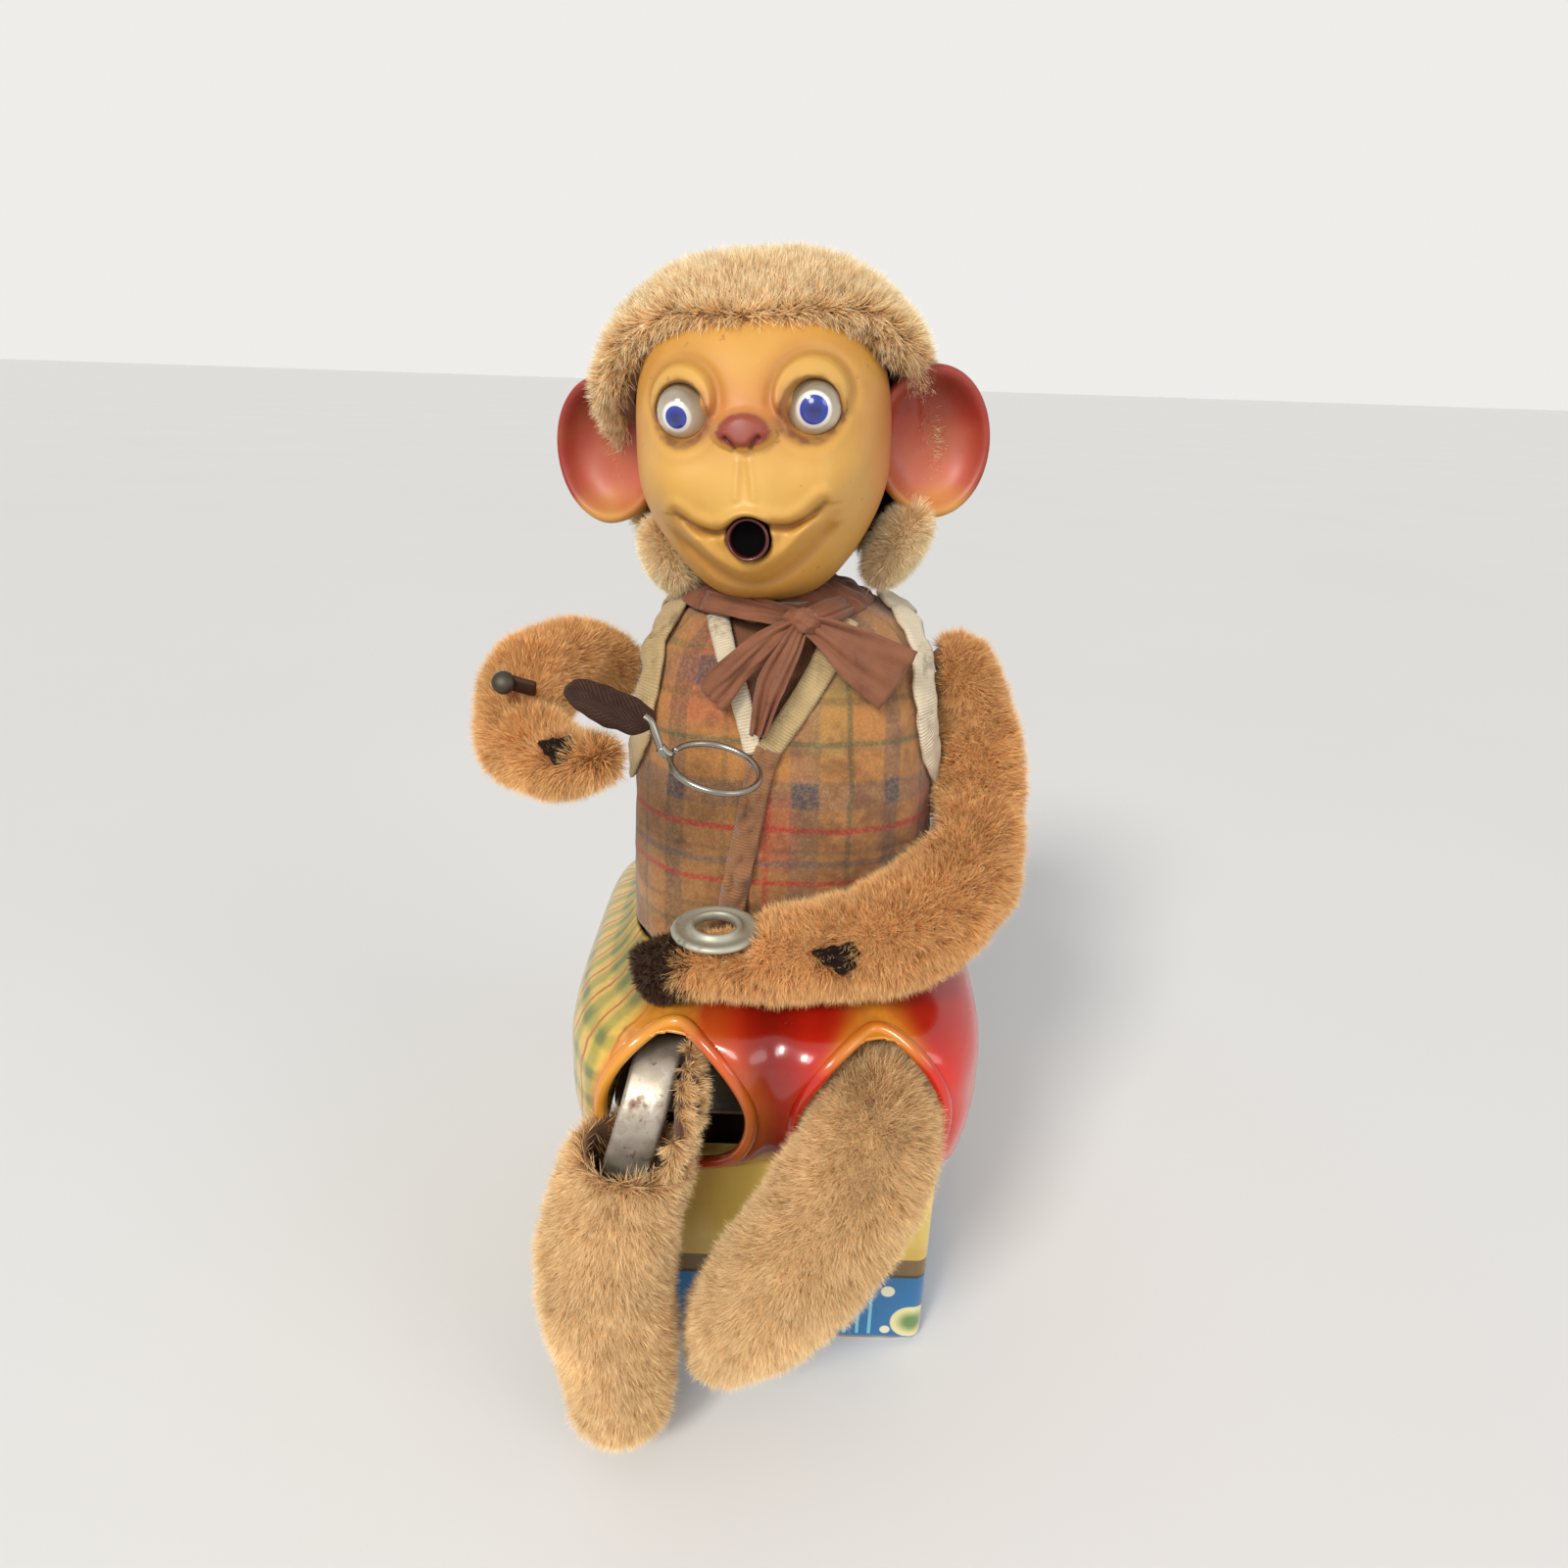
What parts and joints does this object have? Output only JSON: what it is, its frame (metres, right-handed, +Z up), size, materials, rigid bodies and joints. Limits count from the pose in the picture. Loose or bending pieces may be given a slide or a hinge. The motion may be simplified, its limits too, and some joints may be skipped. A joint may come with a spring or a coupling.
{
  "type": "bubble-blowing toy monkey",
  "caption": "Seated plush and tin monkey on a printed tin box, with a wire ring wand in one raised hand, a cup ring in its lap and a round blow hole for a mouth.",
  "frame": {"origin": "middle of the tin box's base, on the surface that the toy stands on", "axes": "+Z up, -Y the way the monkey faces, +X its own left"},
  "size_m": [0.1258, 0.1269, 0.2539],
  "materials": {
    "printed_tin": "glossy lithographed tin, yellow over a blue band",
    "red_tin": "glossy lithographed tin, red with a plaid area",
    "plain_tin": "bare tinned sheet, dulled and rust-spotted",
    "steel": "bright drawn steel",
    "brass": "dull brass",
    "nylon": "moulded, off-white",
    "cell": "plain painted jacket",
    "fibre": "pressed fibre, dull",
    "rust_plush": "ginger pile",
    "tan_plush": "tan pile",
    "pale_plush": "pale blond pile",
    "brown_cloth": "worn dark brown cloth",
    "plaid_flannel": "brushed flannel with a printed plaid",
    "ribbon": "rust satin ribbon",
    "vinyl": "soft vinyl, yellow tan with sprayed tints",
    "eye_plastic": "milky glossy dome",
    "rubber_tube": "black rubber"
  },
  "bodies": {
    "root": {"box_front": "printed_tin", "box_rear": "printed_tin", "pants_front": "red_tin", "pants_rear": "red_tin", "base_plate": "plain_tin", "deck_plate": "plain_tin", "torso_front": "plain_tin", "torso_rear": "plain_tin", "frame_right": "plain_tin", "frame_left": "plain_tin", "motor_can": "plain_tin", "right_leg_strip": "plain_tin", "left_leg_strip": "plain_tin", "left_arm_strip": "plain_tin", "neck_collar": "plain_tin", "hinge_pin": "steel", "spacer_lower": "steel", "spacer_upper": "steel", "stud_first": "steel", "stud_second": "steel", "stud_crank": "steel", "cup_holder": "steel", "blower_housing": "nylon", "cell_right": "cell", "cell_left": "cell", "battery_well": "fibre", "contact_board": "fibre", "switch_plate": "fibre", "left_arm_plush": "rust_plush", "right_leg_plush": "tan_plush", "left_leg_plush": "tan_plush", "right_thigh_cloth": "brown_cloth", "vest": "plaid_flannel", "neck_ribbon": "ribbon", "neck_bow": "ribbon", "air_tube": "rubber_tube"},
    "right_arm": {"arm_shaft": "steel", "arm_lever": "plain_tin", "right_arm_strip": "plain_tin", "right_arm_plush": "rust_plush", "right_hand_pad": "brown_cloth", "wand": "steel"},
    "link": {"crank_link": "plain_tin"},
    "head": {"face_mask": "vinyl", "head_hood": "pale_plush", "head_stem": "plain_tin", "skull_plate": "plain_tin", "eye_right": "eye_plastic", "eye_left": "eye_plastic", "mouth_eyelet": "brass", "mouth_tube": "rubber_tube"},
    "rotor": {"motor_shaft": "steel", "motor_pinion": "brass", "impeller": "nylon"},
    "first_wheel": {"first_gear": "nylon"},
    "second_wheel": {"second_gear": "nylon"},
    "crank": {"crank_wheel": "nylon"},
    "door": {"battery_door": "plain_tin", "bridge_contact": "brass"},
    "switch": {"switch_lever": "plain_tin"}
  },
  "joints": [
    {"name": "right_arm_swing", "type": "hinge", "parent": "root", "child": "right_arm", "pos_m": [0, 0, 0.165], "axis": [-1, 0, 0], "range_deg": [-34, 34]},
    {"name": "crank_link_pivot", "type": "hinge", "parent": "right_arm", "child": "link", "pos_m": [0.02525, 0.009, 0.165], "axis": [-1, 0, 0], "range_deg": [-35, 35]},
    {"name": "head_turn", "type": "hinge", "parent": "root", "child": "head", "pos_m": [-0.003, -0.002, 0.1845], "axis": [0, 0, 1], "range_deg": [-15, 15]},
    {"name": "rotor_spin", "type": "hinge", "parent": "root", "child": "rotor", "pos_m": [0, 0.004, 0.0819], "axis": [1, 0, 0], "continuous": true},
    {"name": "first_gear_spin", "type": "hinge", "parent": "root", "child": "first_wheel", "pos_m": [0, 0.004, 0.0971], "axis": [1, 0, 0], "continuous": true},
    {"name": "second_gear_spin", "type": "hinge", "parent": "root", "child": "second_wheel", "pos_m": [0, 0.004, 0.1123], "axis": [1, 0, 0], "continuous": true},
    {"name": "crank_spin", "type": "hinge", "parent": "root", "child": "crank", "pos_m": [0, 0.004, 0.1299], "axis": [1, 0, 0], "continuous": true},
    {"name": "battery_door_hinge", "type": "hinge", "parent": "root", "child": "door", "pos_m": [0, 0.00485, 0.00165], "axis": [-1, 0, 0], "range_deg": [0, 95]},
    {"name": "switch_slide", "type": "slide", "parent": "root", "child": "switch", "axis": [0, 0, 1], "range_m": [0, 0.006]}
  ],
  "couplings": [
    {"joint": "crank_link_pivot", "follows": "right_arm_swing", "ratio": -1},
    {"joint": "first_gear_spin", "follows": "rotor_spin", "ratio": -0.26667},
    {"joint": "second_gear_spin", "follows": "rotor_spin", "ratio": 0.071111},
    {"joint": "crank_spin", "follows": "rotor_spin", "ratio": -0.015803}
  ]
}
